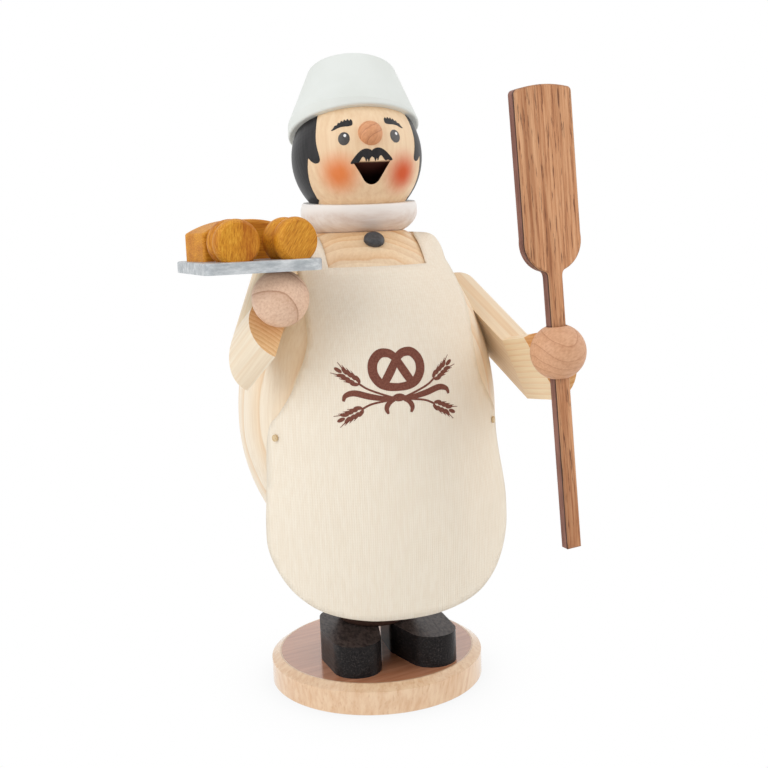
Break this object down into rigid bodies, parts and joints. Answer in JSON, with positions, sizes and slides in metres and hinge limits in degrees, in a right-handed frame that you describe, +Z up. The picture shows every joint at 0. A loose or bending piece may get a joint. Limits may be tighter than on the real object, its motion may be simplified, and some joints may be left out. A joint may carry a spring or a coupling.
{
  "type": "incense smoker figure",
  "caption": "Turned wooden baker figure that lifts apart above the legs over a tin incense plate; smoke leaves through the open mouth. It holds a bread tray and a peel.",
  "frame": {"origin": "centre of the base plate's underside, on the table", "axes": "+Z up along the turned body's axis; the figure faces -Y, so its right hand (tray) is at -X and its left hand (peel) at +X"},
  "size_m": [0.0991, 0.0953, 0.178],
  "materials": {
    "beech_base": "turned beech rim, brown lacquered top",
    "black_stain": "black stained",
    "dowel_beech": "plain dowel",
    "brown_stain": "dark brown stained",
    "tin": "pressed tin",
    "steel": "bright steel",
    "pale_spruce": "clear matt lacquer",
    "white_glaze": "white glaze",
    "face_wood": "clear lacquer with painted face",
    "ball_wood": "turned beech, clear lacquer",
    "white_paint": "off-white paint",
    "apron_cloth": "stiff ribbed cloth",
    "brass": "pin brass",
    "silver_paint": "silver-grey paint",
    "bread_stain": "ochre stained",
    "peel_wood": "walnut-brown stained, scorched edges"
  },
  "bodies": {
    "lower_part": {"base_plate": "beech_base", "right_shoe": "black_stain", "left_shoe": "black_stain", "leg_dowels": "dowel_beech", "lower_body": "brown_stain", "incense_plate": "tin", "plate_nail": "steel"},
    "upper_part": {"upper_body": "pale_spruce", "neck_tube": "dowel_beech", "collar": "white_glaze", "head": "face_wood", "nose": "ball_wood", "cap": "white_paint", "button": "black_stain", "apron": "apron_cloth", "apron_pins": "brass", "right_upper_arm": "pale_spruce", "right_forearm": "pale_spruce", "left_upper_arm": "pale_spruce", "left_forearm": "pale_spruce", "right_hand": "ball_wood", "left_hand": "ball_wood", "shoulder_dowels": "dowel_beech", "hand_pegs": "dowel_beech", "tray": "silver_paint", "tray_peg": "dowel_beech", "loaf": "bread_stain", "right_double_roll": "bread_stain", "left_double_roll": "bread_stain"},
    "peel": {"peel": "peel_wood"}
  },
  "joints": [
    {"name": "body_lift", "type": "slide", "parent": "lower_part", "child": "upper_part", "axis": [0, 0, 1], "range_m": [0, 0.07]},
    {"name": "peel_slide", "type": "slide", "parent": "upper_part", "child": "peel", "axis": [-0.0637, -0.0101, 0.9979], "range_m": [-0.011, 0.04]}
  ]
}
